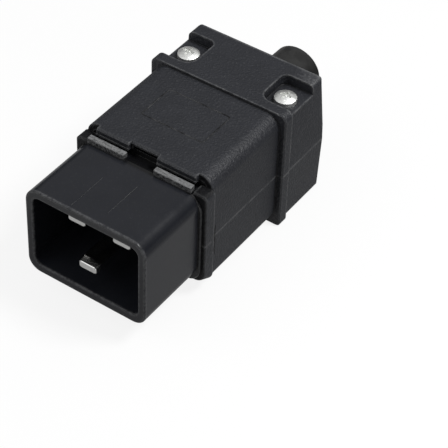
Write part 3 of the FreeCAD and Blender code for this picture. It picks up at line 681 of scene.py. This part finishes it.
def made_by_nodes(name, maker, tree_name, values):
    """Runs a geometry node tree and keeps its result as a plain mesh that rides on the plug."""
    tree = bpy.data.node_groups.get(tree_name) or maker()
    source = bpy.data.objects.new(name + "_source", bpy.data.meshes.new(name + "_source"))
    bpy.context.scene.collection.objects.link(source)
    modifier = source.modifiers.new(tree_name, "NODES")
    modifier.node_group = tree
    sockets = {item.name: item.identifier for item in tree.interface.items_tree if item.in_out == "INPUT"}
    for socket, value in values.items():
        modifier[sockets[socket]] = value
    evaluated = source.evaluated_get(bpy.context.evaluated_depsgraph_get())
    mesh = bpy.data.meshes.new_from_object(evaluated)
    bpy.data.objects.remove(source)
    if not mesh.polygons:
        raise RuntimeError(name + " came out empty")
    piece = bpy.data.objects.new(name, mesh)
    bpy.context.scene.collection.objects.link(piece)
    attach(piece, "root")
    return piece


class PLUG_OT_housing(bpy.types.Operator):
    """Gives the two shells their eroded black plastic, with its wear, its painted sheen and its painted shade
    """
    bl_idname = "plug.housing"
    bl_label = "Finish housing"

    def execute(self, context):
        finish_nodes(SHELLS, housing_plastic(context.scene))
        return {"FINISHED"}


class PLUG_OT_insert(bpy.types.Operator):
    """Gives the shroud and its rubbed ridges their smoother black plastic, with painted shade on its neck and
    behind the shroud
    """
    bl_idname = "plug.insert"
    bl_label = "Finish insert"

    def execute(self, context):
        finish_nodes(("contact_insert",), insert_plastic(context.scene))
        return {"FINISHED"}


class PLUG_OT_metal(bpy.types.Operator):
    """Gives the pins nickel plate, and the screws and washers zinc plate"""
    bl_idname = "plug.metal"
    bl_label = "Plate pins and screws"

    def execute(self, context):
        colours, finish = context.scene.plug_colours, context.scene.plug_finish
        nickel = plated(context.scene, "nickel_plate", colours.nickel, colours.nickel_dull,
                        finish.nickel_rough, finish.nickel_relief, finish.nickel_scuffs)
        zinc = plated(context.scene, "zinc_plate", colours.zinc, colours.zinc_dull,
                      finish.zinc_rough, finish.zinc_relief)
        finish_nodes(PINS, nickel)
        finish_nodes(SHELL_SCREWS + INNER_SCREWS + WASHERS, zinc)
        return {"FINISHED"}


class PLUG_OT_boot(bpy.types.Operator):
    """Gives the boot its rubber, and the cord grip inside its plastic"""
    bl_idname = "plug.boot"
    bl_label = "Finish boot and grip"

    def execute(self, context):
        finish_nodes(("cable_boot",), boot_rubber(context.scene))
        finish_nodes(("cord_grip_bar",), bpy.data.materials["housing_plastic"])
        return {"FINISHED"}


class PLUG_OT_panel(bpy.types.Operator):
    """Raises the thin outline of the bare label panel on the roof"""
    bl_idname = "plug.panel"
    bl_label = "Outline label panel"

    def execute(self, context):
        colours, marks = context.scene.plug_colours, context.scene.plug_marks
        left, right = marks.panel_x
        front, back = marks.panel_y
        made_by_nodes("label_panel_outline", panel_tree, "Panel outline", {
            "Centre": ((left + right) / 2, (front + back) / 2, marks.roof_level),
            "Panel Width": right - left,
            "Panel Depth": back - front,
            "Corner Radius": 2 * marks.panel_line,
            "Line Width": marks.panel_line,
            "Line Height": marks.line_height,
            # Painted shadow: the outline is recess black, paler in random stretches
            "Material": line_plastic(context.scene, "panel_line", colours.recess, colours.line),
        })
        return {"FINISHED"}


class PLUG_OT_lines(bpy.types.Operator):
    """Raises the two fine moulding lines on the shroud's top"""
    bl_idname = "plug.lines"
    bl_label = "Moulding lines"

    def execute(self, context):
        colours, marks = context.scene.plug_colours, context.scene.plug_marks
        # Raised lines of the insert's bloom tone, paler in random stretches
        crisp = line_plastic(context.scene, "shroud_line", colours.insert_pale, colours.line)
        runs = {
            "shroud_line_left": (marks.left_line_x, marks.left_line_y),
            "shroud_line_right": (marks.right_line_x, marks.right_line_y),
        }
        for name, (x, (start, end)) in runs.items():
            made_by_nodes(name, line_tree, "Moulding line", {
                "Start": (x, start, marks.shroud_level),
                "End": (x, end, marks.shroud_level),
                "Line Width": marks.line_width,
                "Line Height": marks.line_height,
                "Material": crisp,
            })
        return {"FINISHED"}


def floor_paper(scene):
    """Paper, white to the eye with the plug's shadow kept, and brightest to reflections before the mouth."""
    colours, stage = scene.plug_colours, scene.plug_stage
    material, tree, shader = new_material("floor_paper")
    rays = tree.nodes.new("ShaderNodeLightPath").outputs
    paper = add_mix(tree, rays["Is Camera Ray"], colours.bounce, colours.floor)
    paper = tint(tree, paper, colours.bounce, moulded_grain(tree, stage.floor_clouds)["Clouds"],
                 stage.floor_mottle)
    tree.links.new(paper, shader.inputs["Base Color"])
    shader.inputs["Roughness"].default_value = stage.floor_rough
    shader.inputs["Specular IOR Level"].default_value = 0.0
    white = add_node(tree, "ShaderNodeEmission", Color=(1.0, 1.0, 1.0, 1.0), Strength=1.0)
    mirrored = add_math(tree, "MAXIMUM", rays["Is Glossy Ray"], rays["Is Transmission Ray"])
    front = multiply(tree, rise(tree, "Y", stage.glare_front_y), stage.glare_front)
    left = multiply(tree, rise(tree, "X", stage.glare_left_x), stage.glare_left)
    seen = add_math(tree, "MAXIMUM", multiply(tree, rays["Is Camera Ray"], stage.floor_white),
                    multiply(tree, mirrored, add_math(tree, "MAXIMUM", front, left)))
    blend = tree.nodes.new("ShaderNodeMixShader")
    tree.links.new(seen, blend.inputs["Fac"])
    tree.links.new(shader.outputs["BSDF"], blend.inputs[1])
    tree.links.new(white.outputs["Emission"], blend.inputs[2])
    tree.links.new(blend.outputs["Shader"], tree.nodes["Material Output"].inputs["Surface"])
    return material


def add_floor(scene):
    half = scene.plug_stage.floor_size / 2
    corners = [Vector((x, y, 0.0)) * half for x, y in ((-1, -1), (1, -1), (1, 1), (-1, 1))]
    mesh = bpy.data.meshes.new("floor")
    mesh.from_pydata(corners, [], [(0, 1, 2, 3)])
    mesh.materials.append(floor_paper(scene))
    floor = bpy.data.objects.new("floor", mesh)
    scene.collection.objects.link(floor)


def add_lamp(scene, name, direction, size, power):
    """Square soft lamp that faces the plug."""
    data = bpy.data.lights.new(name, "AREA")
    data.size = size
    data.energy = power
    lamp = bpy.data.objects.new(name, data)
    lamp.location = Vector(direction).normalized() * scene.plug_stage.lamp_distance
    lamp.rotation_euler = (-lamp.location).to_track_quat("-Z", "Y").to_euler()
    scene.collection.objects.link(lamp)


def add_world(scene):
    """Plain surroundings, dim near the floor and brighter overhead."""
    stage = scene.plug_stage
    world = bpy.data.worlds.new("surroundings")
    world.use_nodes = True
    tree = world.node_tree
    background = tree.nodes["Background"]
    background.inputs["Color"].default_value = (1.0, 1.0, 1.0, 1.0)
    split = tree.nodes.new("ShaderNodeSeparateXYZ")
    tree.links.new(tree.nodes.new("ShaderNodeTexCoord").outputs["Generated"], split.inputs[0])
    light = add_range(tree, split.outputs["Z"], SKY_SPAN, (stage.horizon_level, stage.sky_level))
    tree.links.new(light, background.inputs["Strength"])
    scene.world = world


def add_camera(scene):
    stage = scene.plug_stage
    back = Vector((math.sin(stage.azimuth) * math.cos(stage.elevation),
                   -math.cos(stage.azimuth) * math.cos(stage.elevation), math.sin(stage.elevation)))
    level = Vector((math.cos(stage.azimuth), math.sin(stage.azimuth), 0.0))
    upright = back.cross(level)
    right = level * math.cos(stage.roll) + upright * math.sin(stage.roll)
    up = upright * math.cos(stage.roll) - level * math.sin(stage.roll)
    eye = Vector(stage.look_at) + back * stage.distance - right * stage.aside - up * stage.above
    data = bpy.data.cameras.new("camera")
    data.sensor_width = SENSOR_MM
    data.lens = stage.focal_px * SENSOR_MM / PICTURE_PX
    data.shift_x = 0.5 - stage.centre_px[0] / PICTURE_PX
    data.shift_y = stage.centre_px[1] / PICTURE_PX - 0.5
    data.clip_start = stage.distance / 100
    camera = bpy.data.objects.new("camera", data)
    camera.matrix_world = Matrix.Translation(eye) @ Matrix((right, up, back)).transposed().to_4x4()
    scene.collection.objects.link(camera)
    scene.camera = camera


class PLUG_OT_stage(bpy.types.Operator):
    """Sets the white floor, the soft lamps and the camera"""
    bl_idname = "plug.stage"
    bl_label = "Set stage"

    def execute(self, context):
        scene = context.scene
        stage = scene.plug_stage
        scene.view_settings.view_transform = "Standard"
        add_floor(scene)
        add_world(scene)
        add_lamp(scene, "key_lamp", stage.key_from, stage.key_size, stage.key_power)
        add_lamp(scene, "fill_lamp", stage.fill_from, stage.fill_size, stage.fill_power)
        add_camera(scene)
        return {"FINISHED"}


OPERATORS = (PLUG_OT_housing, PLUG_OT_insert, PLUG_OT_metal, PLUG_OT_boot, PLUG_OT_panel, PLUG_OT_lines,
             PLUG_OT_stage)


class PLUG_PT_sidebar(bpy.types.Panel):
    """Steps that dress the plug"""
    bl_idname = "PLUG_PT_sidebar"
    bl_label = "Power plug"
    bl_space_type = "VIEW_3D"
    bl_region_type = "UI"
    bl_category = "Plug"

    def draw(self, context):
        for operator in OPERATORS:
            self.layout.operator(operator.bl_idname)


SETTINGS = {"plug_colours": PlugColours, "plug_marks": PlugMarks, "plug_finish": PlugFinish,
            "plug_stage": PlugStage}


def register():
    for item in (*SETTINGS.values(), *OPERATORS, PLUG_PT_sidebar):
        bpy.utils.register_class(item)
    for name, group in SETTINGS.items():
        setattr(bpy.types.Scene, name, PointerProperty(type=group))


def unregister():
    for name in SETTINGS:
        delattr(bpy.types.Scene, name)
    for item in reversed((*SETTINGS.values(), *OPERATORS, PLUG_PT_sidebar)):
        bpy.utils.unregister_class(item)


def main():
    register()
    bpy.ops.plug.housing()
    bpy.ops.plug.insert()
    bpy.ops.plug.metal()
    bpy.ops.plug.boot()
    bpy.ops.plug.panel()
    bpy.ops.plug.lines()
    bpy.ops.plug.stage()


if __name__ == "__main__":
    main()
